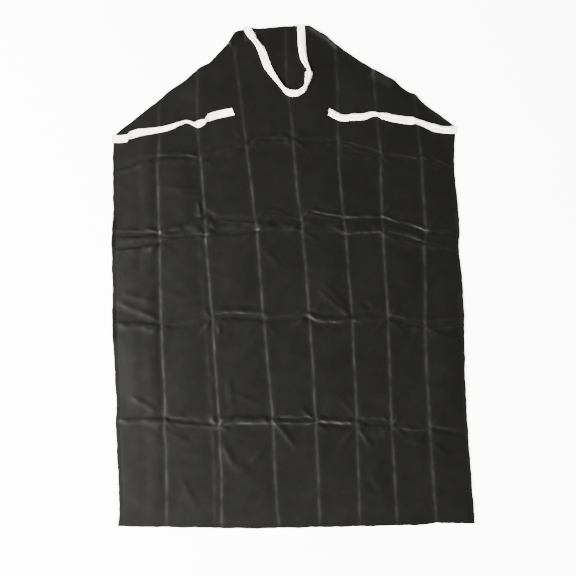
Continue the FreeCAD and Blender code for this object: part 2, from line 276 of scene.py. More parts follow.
CORNER_EASE = 4.0       # how far the corners of a drawn line are rounded, to each side
GRID_ROUNDS = 8         # X and Y of a grid point depend on each other, so both are found in rounds
COLUMN_BLEND = 0.18     # half the share of a field over which its look changes to the next one's
ROW_BLEND = 0.3
UPRIGHT_REACH = 34.0    # how far beside an upright and a level crease its flanks fade out
LEVEL_REACH = 18.0


def smooth(share):
    """0 below 0, 1 above 1, and a soft step between."""
    share = np.clip(share, 0.0, 1.0)
    return share * share * (3.0 - 2.0 * share)


def line_at(points, at, by_x):
    """The line's other coordinate at the given X or Y values, with its corners slightly eased."""
    pairs = sorted(points) if by_x else sorted((y, x) for x, y in points)
    known, other = zip(*pairs)
    at = np.asarray(at, float)
    return sum(np.interp(at + shift, known, other) for shift in (-CORNER_EASE, 0.0, CORNER_EASE)) / 3.0


def field_steps(width):
    """Shares across one field, close together beside its two creases."""
    near = [step / width for step in CREASE_STEPS if step < width / 2 - CELL]
    count = max(1, round((1.0 - 2.0 * near[-1]) * width / CELL))
    between = np.linspace(near[-1], 1.0 - near[-1], count + 1)
    return np.concatenate([near[:-1], between, [1.0 - step for step in reversed(near[:-1])]])


def line_steps(widths):
    """Shares over all the fields in a row: whole numbers lie on the creases."""
    parts = [np.array([0.0])]
    for field, width in enumerate(widths):
        parts.append(field + field_steps(width)[1:])
    return np.concatenate(parts)


def wobble(at, seed, length, amount):
    """A smooth uneven swing about 0, for lines that aren't quite straight or even."""
    rng = np.random.default_rng(seed)
    swing = np.zeros_like(at)
    for stretch in (1.6, 1.0, 0.6, 0.35):
        phase = rng.uniform(0, 2 * math.pi)
        swing += math.sqrt(stretch) * np.sin(2 * math.pi * at / (length * stretch) + phase)
    return swing * amount / 1.4


def between_lines(lines, shares, at, by_x):
    """Positions between neighbouring lines, for every grid point."""
    stack = np.array([line_at(line, at, by_x) for line in lines])
    for edge in (0, -1):
        stack[edge] += wobble(at, 300 + edge, 60.0, 0.5)
    low = np.minimum(shares.astype(int), len(lines) - 2)
    part = shares - low
    rows, columns = np.indices(at.shape)
    return stack[low, rows, columns] * (1 - part) + stack[low + 1, rows, columns] * part


def sheet_grid():
    """X and Y of a grid that follows the creases, and the shares that place its points."""
    shares_x, shares_y = np.meshgrid(line_steps([COLUMN_WIDTH] * COLUMNS), line_steps(ROW_HEIGHTS))
    x = (shares_x - COLUMNS / 2) * COLUMN_WIDTH
    y = np.interp(shares_y, range(len(ROW_LEVELS)), ROW_LEVELS)
    for _ in range(GRID_ROUNDS):
        x = between_lines(COLUMN_LINES, shares_x, y, by_x=False)
        y = between_lines(ROW_LINES, shares_y, x, by_x=True)
    return x, y, shares_x, shares_y


def flank(distance, rise, half_width, reach=UPRIGHT_REACH):
    """A smooth climb through the line that fades out on both sides."""
    return rise / 2 * np.tanh(distance / half_width) * np.exp(-np.abs(distance) / reach)


def by_share(strengths, shares, blend=COLUMN_BLEND):
    """Each field's own strength, changing over a short stretch at the lines between fields."""
    centres = np.arange(len(strengths)) + 0.5
    inner = np.floor(shares + 0.5)
    step = np.clip((shares - inner) / blend, -1.0, 1.0)
    left = np.clip(inner - 1, 0, len(centres) - 1).astype(int)
    right = np.clip(inner, 0, len(centres) - 1).astype(int)
    part = smooth((step + 1.0) / 2.0)
    strengths = np.asarray(strengths, float)
    return strengths[left] * (1 - part) + strengths[right] * part


def upright_distance(x, y, number):
    """How far to the right of an upright crease each point lies."""
    return x - line_at(UPRIGHT_CREASES[number], y, by_x=False) - wobble(y, 100 + number, 130.0, 0.4)


def level_distance(x, y, number):
    """How far above a level crease, towards the neck, each point lies."""
    return y - line_at(LEVEL_CREASES[number][0], x, by_x=True) - wobble(x, 160 + number, 60.0, 1.0)


def upright_relief(x, y, shares_y):
    """Height that the upright creases add."""
    relief = np.zeros_like(x)
    for number, flanks in enumerate(UPRIGHT_FLANKS):
        distance = upright_distance(x, y, number)
        uneven = 1 + wobble(y, 120 + number, 90.0, 0.3)
        strength = by_share(UPRIGHT_STRENGTH, shares_y, ROW_BLEND) * uneven
        for offset, rise, half_width in flanks:
            relief += strength * flank(distance - offset, rise, half_width)
        if number == SECOND_LINE_CREASE:
            offset, rise, half_width = SECOND_LINE
            uneven = 1 + wobble(y, 140, 60.0, 0.3)
            strength = by_share(SECOND_LINE_STRENGTH, shares_y, ROW_BLEND) * uneven
            relief += strength * flank(distance - offset, rise, half_width)
    return relief


def level_relief(x, y, shares_x):
    """Height that the level creases add."""
    relief = np.zeros_like(x)
    for number, (_, columns) in enumerate(LEVEL_CREASES):
        distance = level_distance(x, y, number)
        uneven = by_share(LEVEL_RISE, shares_x) * (1 + wobble(x, 180 + number, 50.0, 0.18))
        for column, flanks in enumerate(columns):
            window = uneven * by_share([float(n == column) for n in range(COLUMNS)], shares_x)
            for offset, rise, half_width in flanks:
                gain = 1.0 if rise > 0 else FALL_GAIN
                relief += window * flank(distance - offset, gain * rise, half_width, LEVEL_REACH)
    return relief


def crossing_wrinkles():
    """A few short wrinkles that run out from every crossing of two creases."""
    rng = np.random.default_rng(23)
    wrinkles = []
    for crease, _ in LEVEL_CREASES:
        for upright in UPRIGHT_CREASES:
            at_y = np.mean([point[1] for point in crease])
            for _ in range(3):
                at_x = float(line_at(upright, at_y, by_x=False))
                at_y = float(line_at(crease, at_x, by_x=True))
            for side in (-1, 1, -1, 1):
                slope = rng.uniform(0.15, 0.95) * rng.choice([-1, 1])
                near, far = rng.uniform(4, 9), rng.uniform(26, 62)
                way = np.array([side * math.cos(slope), math.sin(slope)])
                start, end = (np.array([at_x, at_y]) + way * reach for reach in (near, far))
                wrinkles.append((start, end, rng.uniform(0.3, 1.1), rng.uniform(3.6, 6.0)))
    return wrinkles


def beside_line(x, y, start, end):
    """How far along the line from start to end each point lies, how far to its left, and its length."""
    run = np.subtract(end, start)
    length = float(np.hypot(*run))
    along = ((x - start[0]) * run[0] + (y - start[1]) * run[1]) / length
    aside = ((y - start[1]) * run[0] - (x - start[0]) * run[1]) / length
    return along, aside, length


def wrinkle_relief(x, y):
    """Height that the single wrinkles add."""
    relief = np.zeros_like(x)
    for start, end, height, half_width in WRINKLES + crossing_wrinkles():
        along, aside, length = beside_line(x, y, start, end)
        share = np.clip(along / length, 0.0, 1.0)
        beyond = along - share * length
        taper = np.sin(np.pi * (0.12 + 0.88 * share)) ** 0.7 * np.exp(-(beyond / half_width) ** 2)
        relief += WRINKLE_GAIN * height * taper * np.exp(-(aside / half_width) ** 2)
    return relief


def wave_relief(x, y, seed, count, length, height):
    """Soft waves in many directions, about the given length and height."""
    rng = np.random.default_rng(seed)
    relief = np.zeros_like(x)
    for _ in range(count):
        turn = rng.uniform(0, 2 * math.pi)
        number = 2 * math.pi / (length * rng.uniform(0.7, 1.5))
        phase = rng.uniform(0, 2 * math.pi)
        relief += np.sin(number * (x * math.cos(turn) + y * math.sin(turn)) + phase)
    return relief * height / math.sqrt(count)


def field_relief(shares_x, shares_y):
    """Each field between creases swells or sinks a little, by its own amount."""
    rng = np.random.default_rng(11)
    rows = len(ROW_HEIGHTS)
    swell = rng.uniform(-0.5, 1.6, (rows, COLUMNS))
    swell[NARROW_ROW] *= 0.2
    column = np.minimum(shares_x.astype(int), COLUMNS - 1)
    row = np.minimum(shares_y.astype(int), rows - 1)
    dome = np.sin(np.pi * (shares_x - column)) * np.sin(np.pi * (shares_y - row))
    return swell[row, column] * dome ** 1.5


def edge_distance(x, y):
    """How far inside the outline each point lies."""
    top = line_at(TOP_EDGE, x, by_x=True)
    beyond, before = (line_at(TOP_EDGE, x + step, by_x=True) for step in (SLOPE_STEP, -SLOPE_STEP))
    slope = (beyond - before) / (2 * SLOPE_STEP)
    return np.minimum.reduce([
        x - line_at(LEFT_EDGE, y, by_x=False),
        line_at(RIGHT_EDGE, y, by_x=False) - x,
        y - line_at(HEM, x, by_x=True),
        (top - y) / np.sqrt(1.0 + slope ** 2),
    ])


def curl_relief(x, y, inside):
    """Stretches of the edge that curl up or are pressed down."""
    relief = np.zeros_like(x)
    for start, end, width, height in EDGE_CURLS:
        along, aside, length = beside_line(x, y, start, end)
        ends = smooth(along / length / CURL_ENDS) * smooth((1 - along / length) / CURL_ENDS)
        window = ends * smooth((3 * width - np.abs(aside)) / width)
        relief += height * window * smooth(1 - inside / width)
    return relief


def tab_window(x, y):
    """1 over each sewn tape end, fading out round it."""
    window = np.zeros_like(x)
    for name, *_ in TAB_ENDS:
        low, high = (np.array(corner[:2]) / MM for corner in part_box(name + "_tab"))
        out_x = np.maximum.reduce([low[0] - x, x - high[0], x * 0])
        out_y = np.maximum.reduce([low[1] - y, y - high[1], y * 0])
        window = np.maximum(window, smooth(1 - np.hypot(out_x, out_y) / TAB_FADE))
    return window


def crease_wear_and_highlight(x, y, shares_x, shares_y):
    """How far the black coat is painted paler along each crease: partly stress-whitened wear, partly a
    painted highlight on the crease's ridge.
    """
    wear_and_highlight = np.zeros_like(x)
    for number in range(len(UPRIGHT_CREASES)):
        distance = upright_distance(x, y, number)
        uneven = 1 + wobble(y, 200 + number, 45.0, 0.35)
        strength = by_share(WEAR_AND_HIGHLIGHT_STRENGTH, shares_y, ROW_BLEND) * uneven
        wear_and_highlight += strength * np.exp(-((distance + 0.5) / UPRIGHT_WEAR_AND_HIGHLIGHT_WIDTH) ** 2)
    for number in range(len(LEVEL_CREASES)):
        distance = level_distance(x, y, number)
        strength = by_share(LEVEL_WEAR_AND_HIGHLIGHT, shares_x) * (1 + wobble(x, 220 + number, 40.0, 0.5))
        wear_and_highlight += strength * np.exp(-((distance - 1.5) / LEVEL_WEAR_AND_HIGHLIGHT_WIDTH) ** 2)
    return wear_and_highlight


def sheet_relief(x, y, shares_x, shares_y):
    """Height of the sheet's back above the surface it lies on."""
    inside = edge_distance(x, y)
    relief = upright_relief(x, y, shares_y) + level_relief(x, y, shares_x)
    relief += wrinkle_relief(x, y) + field_relief(shares_x, shares_y)
    relief += wave_relief(x, y, seed=3, count=9, length=300.0, height=0.35)
    relief += wave_relief(x, y, seed=5, count=24, length=45.0, height=0.08)
    calm = EDGE_RELIEF + (1 - EDGE_RELIEF) * smooth(inside / EDGE_CALM)
    relief = relief * calm + SHEET_LIFT * smooth(inside / LIFT_WIDTH)
    over = np.maximum(relief - PUCKER_START, 0.0)
    relief += PUCKER_ROOM * np.tanh(over / PUCKER_ROOM) - over      # no pucker stands up sharply
    relief += curl_relief(x, y, inside)
    relief = np.log1p(np.exp(relief * FLOOR_PRESS)) / FLOOR_PRESS       # never below the surface
    window = tab_window(x, y)
    relief = relief * (1 - window) + TAB_ROOM * window
    groove = HEM_GROOVE * np.exp(-((inside - HEM_WIDTH) / GROOVE_WIDTH) ** 2) * (1 - window)
    return np.maximum(relief - groove, 0.0)


# ---------------- building meshes
def new_object(name, vertices, faces, materials, face_materials=None):
    """A smooth-shaded mesh object. Faces are lists of vertex numbers, or an array of them."""
    mesh = bpy.data.meshes.new(name)
    mesh.from_pydata(np.asarray(vertices).tolist(), [], [list(map(int, face)) for face in faces])
    for material in materials:
        mesh.materials.append(material)
    if face_materials is not None:
        mesh.polygons.foreach_set("material_index", np.asarray(face_materials, np.int32))
    mesh.polygons.foreach_set("use_smooth", np.ones(len(mesh.polygons), bool))
    mesh.update()
    obj = bpy.data.objects.new(name, mesh)
    bpy.context.collection.objects.link(obj)
    return obj


def point_values(obj, name, values):
    """One number or vector for each vertex, for the materials."""
    values = np.asarray(values, np.float32)
    kind = "FLOAT" if values.ndim == 1 else "FLOAT_VECTOR"
    layer = obj.data.attributes.new(name, kind, "POINT")
    layer.data.foreach_set("value" if values.ndim == 1 else "vector", values.ravel())


def quads(rows, columns, start=0):
    """Faces of a grid of vertices, facing up when X grows along a row and Y from row to row."""
    row, column = np.meshgrid(np.arange(rows - 1), np.arange(columns - 1), indexing="ij")
    first = (start + row * columns + column).ravel()
    return np.stack([first, first + 1, first + columns + 1, first + columns], axis=1)


def tube_faces(rings, around, first=0):
    """Faces between neighbouring rings of vertices, without the two ends."""
    faces = []
    for ring in range(rings - 1):
        low, high = first + ring * around, first + (ring + 1) * around
        for step in range(around):
            after = (step + 1) % around
            faces.append([low + step, low + after, high + after, high + step])
    return faces


def ribbon_faces(rings, around, inside_out=False):
    """Faces of a flat tape whose vertices run round it in rings, with its two ends closed."""
    faces = tube_faces(rings, around)
    for ring in (0, rings - 1):
        for step in range(around // 2 - 1):
            low, high = ring * around + step, (ring + 1) * around - 1 - step
            end = [low, low + 1, high - 1, high]
            faces.append(end if ring == 0 else end[::-1])
    if inside_out:
        faces = [[face[0], *face[:0:-1]] for face in faces]
    return faces


# ---------------- the sheet
LIP_STEPS = 5           # grid steps from the edge to the end of the turned-back lip
LIP_STEP = 0.4          # the woven back lies this much inside the lip
EDGE_ROUND = 0.5


def border_of(x, y):
    """Vertex numbers once round a grid, their X and Y, and the way outwards at each."""
    index = np.arange(x.size).reshape(x.shape)
    border = np.concatenate([index[0, :-1], index[:-1, -1], index[-1, :0:-1], index[:0:-1, 0]])
    outline = np.stack([x.ravel()[border], y.ravel()[border]], axis=1)
    run = np.roll(outline, -1, axis=0) - np.roll(outline, 1, axis=0)
    outward = np.stack([run[:, 1], -run[:, 0]], axis=1) / np.linalg.norm(run, axis=1)[:, None]
    return border, outline, outward


def sheet_faces(border, lip):
    """Faces of the front, the back and the rim between them, and the number of each one's material."""
    rim = 2 * lip.size + np.arange(len(border))
    rim_after, border_after = np.roll(rim, -1), np.roll(border, -1)
    faces = np.concatenate([
        quads(*lip.shape),
        quads(*lip.shape, lip.size)[:, ::-1],
        np.stack([border, rim, rim_after, border_after], axis=1),
        np.stack([rim, border + lip.size, border_after + lip.size, rim_after], axis=1),
    ])
    corners = [lip[1:, 1:], lip[:-1, 1:], lip[1:, :-1], lip[:-1, :-1]]
    woven = (np.maximum.reduce(corners).ravel() < 0.5).astype(int)
    return faces, np.concatenate([woven * 0, woven, np.zeros(2 * len(border), int)])


def sheet_part(name, grid, rows, cut_row, materials):
    """A closed piece of the sheet between two grid rows, with its other half beyond cut_row."""
    x, y, back, lip, wear_and_highlight = (values[rows] for values in grid)
    border, outline, outward = border_of(x, y)
    cut = border // x.shape[1] == cut_row % x.shape[0]
    inset = np.where(cut, 0.0, EDGE_ROUND)[:, None] * outward
    top = np.stack([x, y, back + SHEET_THICK], axis=-1).reshape(-1, 3)
    under = np.stack([x, y, back + LIP_STEP * (1 - lip)], axis=-1).reshape(-1, 3)
    rim = np.column_stack([outline, (top[border, 2] + under[border, 2]) / 2])
    top[border, :2] -= inset
    under[border, :2] -= inset
    faces, face_materials = sheet_faces(border, lip)
    obj = new_object(name, np.concatenate([top, under, rim]) * MM, faces, materials, face_materials)
    wear_and_highlight = wear_and_highlight.ravel()
    # Paler front along the creases, partly wear and partly a painted highlight; none on the back, half on
    # the rim.
    point_values(obj, "wear_and_highlight", np.concatenate([wear_and_highlight, wear_and_highlight * 0, wear_and_highlight[border] * 0.5]))
    keep_cut_sharp(obj, np.concatenate([border[cut], border[cut] + x.size]))
    return obj


def keep_cut_sharp(obj, cut_vertices):
    """The hidden wall at a cut doesn't bend the shading of the faces beside it."""
    on_cut = np.zeros(len(obj.data.vertices), bool)
    on_cut[cut_vertices] = True
    ends = np.zeros(2 * len(obj.data.edges), np.int32)
    obj.data.edges.foreach_get("vertices", ends)
    sharp = on_cut[ends.reshape(-1, 2)].all(axis=1)
    layer = obj.data.attributes.new("sharp_edge", "BOOLEAN", "EDGE")
    layer.data.foreach_set("value", sharp)


def lip_shares(shape):
    """1 on the turned-back lip round the edge, 0 on the woven back inside it."""
    lip = np.ones(shape)
    lip[LIP_STEPS + 1:-LIP_STEPS - 1, LIP_STEPS + 1:-LIP_STEPS - 1] = 0.0
    return lip


def add_sheet(materials):
    """The whole creased sheet, as its upper and its lower piece, cut between the two folds."""
    x, y, shares_x, shares_y = sheet_grid()
    relief = sheet_relief(x, y, shares_x, shares_y)
    grid = (x, y, relief, lip_shares(x.shape), crease_wear_and_highlight(x, y, shares_x, shares_y))
    cut_row = int(np.argmin(np.abs(shares_y[:, 0] - 1.5)))
    lower = sheet_part("apron_lower", grid, slice(0, cut_row + 1), -1, materials)
    upper = sheet_part("apron_upper", grid, slice(cut_row, None), 0, materials)
    return upper, lower


# ---------------- tapes
TAPE_WIDTH = 20.0
TAPE_THICK = 0.8
TAPE_CLEAR = 0.35       # from the sheet to the tape's lower face
ROUTE_STEPS = 24        # steps between two points of a route
TAPE_STEP = 2.5         # between the rings of vertices along a tape
BEND = 1.2              # half the width of tape taken up by a lengthwise fold
ACROSS_POINTS = 29
END_CUT = 12.0          # length over which the tape's end turns to its slanted cut
PLEAT_WIDTH = 10.0      # two pleats across the tape
SETTLE_WEIGHTS = [1, 4, 8, 12, 14, 12, 8, 4, 1]     # of neighbouring places, for an even level
# Along each tape: share of the length, slope of the left and of the right part down from the fold
# line (degrees; past 90 a part is folded under), the fold line's place (mm from the middle), a sideways
# move (mm to the right of the way along), and the pleats' steepness where the tape is gathered.
NECK_SECTIONS = [
    (0.00, 0, 0, 0, 0, 0), (0.04, 6, 4, 0, 0, 0), (0.065, 8, 8, 0, 0, 10), (0.09, 10, 8, 0, 0, 52),
    (0.115, 8, 8, 0, 0, 50), (0.14, 8, 6, 0, 0, 42), (0.165, 6, 4, 0, 0, 20), (0.20, 4, -4, 0, 0, 0),
    (0.255, 4, 8, 4, 0, 0), (0.285, 6, 4, -8, 0, 0), (0.297, 120, 4, -7, 0, 5), (0.31, 160, 4, -7, 0, 0),
    (0.34, 165, 4, -5, 0, 0), (0.37, 165, 4, -3, 0, 0), (0.41, 165, 4, 0, 0, 0), (0.44, 165, 4, 0, 0, 0),
    (0.47, 165, 4, -5, 0, 0), (0.50, 165, 4, -8, 0, 0), (0.53, 165, 4, -7, 0, 0), (0.555, 160, 4, -4, 0, 0),
    (0.578, 120, 4, -5, 0, 25), (0.595, 20, 4, -5, 1, 56), (0.614, 4, 4, 0, 1, 76), (0.65, 5, 5, 0, 0, 50),
    (0.69, 4, 4, 0, 0, 22), (0.712, 0, 0, 0, 1, 76), (0.74, 0, 0, 0, 0, 64), (0.79, 8, 8, 0, 0, 32),
    (0.83, 10, 8, 0, 0, 20), (0.86, 8, 8, 0, 0, 0), (0.93, 9, 8, 0, 0, 8), (1.00, 0, 0, 0, 0, 0),
]
LEFT_SECTIONS = [
    (0.00, 0, 0, 0, 0, 0), (0.108, 3, 3, 0, 1, 0), (0.122, 0, 0, 0, -1, 66), (0.14, 0, 0, 0, 0, 50),
    (0.165, 4, 4, 12, 0, 0), (0.185, 4, 165, 12, 0, 0), (0.28, 5, 165, 7, 0, 0), (0.36, 6, 165, 5, 0, 0),
    (0.46, 6, 165, 4, 0, 0), (0.50, 4, 160, 4, 0, 30), (0.53, 4, 90, 4, 0, 50), (0.56, 0, 0, 4, 1, 72),
    (0.60, 0, 0, 0, -1, 82), (0.645, 0, 0, 0, 0, 80), (0.674, 0, 0, 0, 0, 69), (0.70, 6, 6, 0, 0, 20),
    (0.74, 4, 4, 0, 0, 35), (0.771, 0, 0, 0, 2, 78), (0.79, 0, 0, 0, 1, 54), (0.816, 6, 4, 0, 0, 15),
    (0.86, 4, 4, 0, 0, 0), (0.92, 2, 4, 0, 0, 0), (1.00, 3, -2, 0, 0, 0),
]
RIGHT_SECTIONS = [
    (0.00, 0, 0, 0, 0, 0), (0.05, 8, 4, 2, 0, 18), (0.10, 8, 6, 2, 0, 28), (0.145, 6, 6, 12, 0, 24),
    (0.165, 5, 160, 12, 0, 14), (0.20, 4, 165, 7, 0, 10), (0.26, 4, 165, 4, 0, 0),
    (0.305, 4, 168, 3.5, 0, 0), (0.32, 5, 150, 4.5, 0, 0), (0.336, 4, 6, 4.5, 0, 0),
    (0.42, 3, 6, 0, 0, 14), (0.53, 5, 4, 0, 0, 20), (0.57, 5, 5, 0, 0, 38), (0.59, 0, 0, 0, 0, 58),
    (0.60, 0, 0, 0, 0, 76), (0.64, 0, 0, 0, 0, 59),
    (0.68, 4, 4, 0, 0, 46), (0.72, 6, 6, 0, 0, 34), (0.79, 4, 4, 0, 0, 28), (0.812, 4, 4, 0, 0, 26),
    (0.824, 4, 4, 0, 0, 42), (0.87, 4, 4, 0, 0, 34), (0.92, 6, 6, 0, 0, 28), (0.96, 6, 6, 0, 0, 22),
    (1.00, 4, 4, 0, 0, 36),
]


def route_points(route):
    """Points along the route's smooth line, in millimetres."""
    curve = bpy.data.curves.new("route", "CURVE")
    curve.dimensions = "3D"
    curve.resolution_u = ROUTE_STEPS
    spline = curve.splines.new("NURBS")
    spline.points.add(len(route) - 1)
    for point, (x, y) in zip(spline.points, route):
        point.co = (x * MM, y * MM, TAPE_LEVEL, 1.0)
    spline.order_u = 3
    spline.use_endpoint_u = True
    holder = bpy.data.objects.new("route", curve)
    bpy.context.collection.objects.link(holder)
    bpy.context.view_layer.update()
    line = bpy.data.meshes.new_from_object(holder)
    points = np.array([vertex.co for vertex in line.vertices]) / MM
    bpy.data.objects.remove(holder)
    return points


def section_table(sections, shares):
    """The section's five values at each share of the length, easing from one row to the next."""
    table = np.array(sections, float)
    after = np.clip(np.searchsorted(table[:, 0], shares), 1, len(table) - 1)
    start, end = table[after - 1], table[after]
    part = smooth((shares - start[:, 0]) / (end[:, 0] - start[:, 0]))[:, None]
    return (start + (end - start) * part)[:, 1:]


def section_shape(left, right, fold_at, pleat):
    """Points across the tape: place along its width when flat, place to the right, and height."""
    across = np.linspace(-TAPE_WIDTH / 2, TAPE_WIDTH / 2, ACROSS_POINTS)
    middle = (across[1:] + across[:-1]) / 2
    part = smooth((middle - fold_at + BEND) / (2 * BEND))
    pleats = pleat * np.tanh(2.5 * np.sin(2 * math.pi * middle / PLEAT_WIDTH))
    slope = np.radians(left * (1 - part) - right * part + pleats)
    steps = np.diff(across)
    place = np.concatenate([[0.0], np.cumsum(np.cos(slope) * steps)])
    height = np.concatenate([[0.0], np.cumsum(np.sin(slope) * steps)])
    place -= (place.min() + place.max()) / 2
    return across, place, height


def height_below(surface, x, y):
    """The sheet's height at a place, or its thickness beyond the edge."""
    hit = surface.ray_cast(Vector((x * MM, y * MM, 1.0)), Vector((0.0, 0.0, -1.0)))[0]
    return SHEET_THICK if hit is None else hit.z / MM


def settle(levels):
    """The tape's level along its length: clear of everything below it, without sharp steps."""
    reach = len(SETTLE_WEIGHTS) // 2
    padded = np.pad(levels, reach, mode="edge")
    highest = np.max([padded[shift:shift + len(levels)] for shift in range(2, 7)], axis=0)
    padded = np.pad(highest, reach, mode="edge")
    weights = np.array(SETTLE_WEIGHTS, float)
    weights /= weights.sum()
    return sum(weight * padded[shift:shift + len(levels)] for shift, weight in enumerate(weights))


def tape_line(route):
    """Distances along a tape, its middle line, the way along it and the way to its right."""
    points = route_points(route)
    lengths = np.concatenate([[0.0], np.cumsum(np.linalg.norm(np.diff(points, axis=0), axis=1))])
    along = np.linspace(0.0, lengths[-1], int(lengths[-1] / TAPE_STEP) + 1)
    centre = np.stack([np.interp(along, lengths, points[:, axis]) for axis in (0, 1)], axis=1)
    way = np.gradient(centre, axis=0)
    way /= np.linalg.norm(way, axis=1)[:, None]
    return along, centre, way, np.stack([way[:, 1], -way[:, 0]], axis=1)


def resting_levels(shapes, centre, right_hand, surface):
    """The tape's height along its length, where it rests on the sheet."""
    levels = []
    for (_, place, height), middle, side in zip(shapes, centre, right_hand):
        needed = [height_below(surface, *spot) for spot in middle + place[:, None] * side]
        levels.append(np.max(np.array(needed) - height))
    return settle(np.array(levels)) + TAPE_CLEAR + TAPE_THICK / 2


def tape_ring(shape, middle, side, level, along):
    """Vertices once round the tape at one place, and where they lie on the flat tape."""
    across, place, height = shape
    turn = np.arctan2(np.gradient(height), np.gradient(place))
    normal = np.stack([-np.sin(turn), np.cos(turn)], axis=1) * TAPE_THICK / 2
    ring, values = [], []
    for way_out in (1, -1):
        spots = middle + (place + way_out * normal[:, 0])[:, None] * side
        ring.append(np.column_stack([spots, level + height + way_out * normal[:, 1]])[::way_out])
        values.append(np.column_stack([along + across * 0, across, across * 0])[::way_out])
    return np.concatenate(ring), np.concatenate(values)


def add_tape(name, route, sections, cut, surface, materials):
    """A flat tape lying on the sheet. Returns the piece and the line along its middle."""
    along, centre, way, right_hand = tape_line(route)
    table = section_table(sections, along / along[-1])
    centre += right_hand * table[:, 3:4]
    shapes = [section_shape(left, right, fold_at, pleat) for left, right, fold_at, _, pleat in table]
    levels = resting_levels(shapes, centre, right_hand, surface)
    slants = cut * smooth((along - along[-1] + END_CUT) / END_CUT)
    sides = right_hand + slants[:, None] * way
    rings = [tape_ring(*place) for place in zip(shapes, centre, sides, levels, along)]
    vertices, values = (np.concatenate(parts) for parts in zip(*rings))
    obj = new_object(name, vertices * MM, ribbon_faces(len(along), 2 * ACROSS_POINTS), materials)
    point_values(obj, "tape", values * MM)
    path = np.column_stack([centre, levels + [np.mean(height) for _, _, height in shapes]]) * MM
    return obj, path


TAB_LEG = 40.0
TAB_LEG_STEPS = 17
TAB_TURN_STEPS = 13
TAB_POINTS = 9          # across the tape
TAB_UNDER = 0.6         # height of the tape's middle under the sheet
TAB_ENDS = [
    # tab, the body of its free tape, that tape's route, which end of it, the way inwards
    ("neck_left", "neck_loop", NECK_LOOP_ROUTE, 0, (0.0, -1.0)),
    ("neck_right", "neck_loop", NECK_LOOP_ROUTE, -1, (0.0, -1.0)),
    ("left_tie", "left_tie", LEFT_TIE_ROUTE, 0, (1.0, 0.0)),
    ("right_tie", "right_tie", RIGHT_TIE_ROUTE, 0, (-1.0, 0.0)),
]


def add_tab(name, edge, inwards, front, materials):
    """The sewn end of a tape: flat under the sheet, then round its edge to meet the free tape."""
    edge, inwards = np.array(edge), np.array(inwards)
    side = np.array([inwards[1], -inwards[0]])
    reach = (front - TAB_UNDER) / 2
    leg = np.linspace(TAB_LEG, 0.0, TAB_LEG_STEPS)
    turn = np.linspace(0.0, math.pi, TAB_TURN_STEPS)[1:]
    depth = np.concatenate([leg, -reach * np.sin(turn)])
    height = np.concatenate([leg * 0 + TAB_UNDER, TAB_UNDER + reach * (1 - np.cos(turn))])
    slope = np.arctan2(np.gradient(height), np.gradient(depth))
    normal = np.stack([-np.sin(slope), np.cos(slope)], axis=1) * TAPE_THICK / 2
    along = np.concatenate([[0.0], np.cumsum(np.hypot(np.diff(depth), np.diff(height)))]) - TAB_LEG
    across = np.linspace(-TAPE_WIDTH / 2, TAPE_WIDTH / 2, TAB_POINTS)
    vertices, values = [], []
    for index in range(len(depth)):
        for way_out in (1, -1):
            out = depth[index] + way_out * normal[index, 0]
            level = height[index] + way_out * normal[index, 1]
            ring = edge + inwards * out + across[::way_out, None] * side
            vertices.append(np.column_stack([ring, across * 0 + level]))
            values.append(np.column_stack([across * 0 + along[index], across[::way_out], across * 0]))
    faces = ribbon_faces(len(depth), 2 * TAB_POINTS, inside_out=True)
    obj = new_object(name + "_tape_end", np.concatenate(vertices) * MM, faces, materials)
    point_values(obj, "tape", np.concatenate(values) * MM)
    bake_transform(obj)
    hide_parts(name + "_tab")


# ---------------- stitching
STITCH_PITCH = 3.0
STITCH_LENGTH = 2.4
STITCH_SHAPE = [(-1.0, 0.35), (-0.8, 1.0), (-0.3, 1.0), (0.3, 1.0), (0.8, 1.0), (1.0, 0.35)]
THREAD_RADIUS = 0.22
THREAD_SIDES = 6
BOX_WIDTH = 15.0
BOX_START = 5.0
BOX_END = 36.0


def stitch_lines():
    """A sewn box with a cross in it: ends of each run, as (across, inwards)."""
    left, right = -BOX_WIDTH / 2, BOX_WIDTH / 2
    corners = [(left, BOX_START), (right, BOX_START), (right, BOX_END), (left, BOX_END)]
    sides = list(zip(corners, corners[1:] + corners[:1]))
    return sides + [(corners[0], corners[2]), (corners[1], corners[3])]


def stitch_vertices(middle, run, level, place):
    """Rings of one stitch, thin at its ends. place turns (across, inwards) into X and Y."""
    beside = np.array([run[1], -run[0]])
    vertices = []
    for share, thickness in STITCH_SHAPE:
        radius = THREAD_RADIUS * thickness
        for step in range(THREAD_SIDES):
            angle = 2 * math.pi * step / THREAD_SIDES
            flat = middle + run * share * STITCH_LENGTH / 2 + beside * radius * math.cos(angle)
            vertices.append((*place(flat), level + radius * math.sin(angle)))
    return vertices


def stitch_faces(first):
    """Faces of the stitch whose vertices start at number first."""
    last = first + (len(STITCH_SHAPE) - 1) * THREAD_SIDES
    ends = [[first + step for step in reversed(range(THREAD_SIDES))],
            [last + step for step in range(THREAD_SIDES)]]
    return tube_faces(len(STITCH_SHAPE), THREAD_SIDES, first) + ends


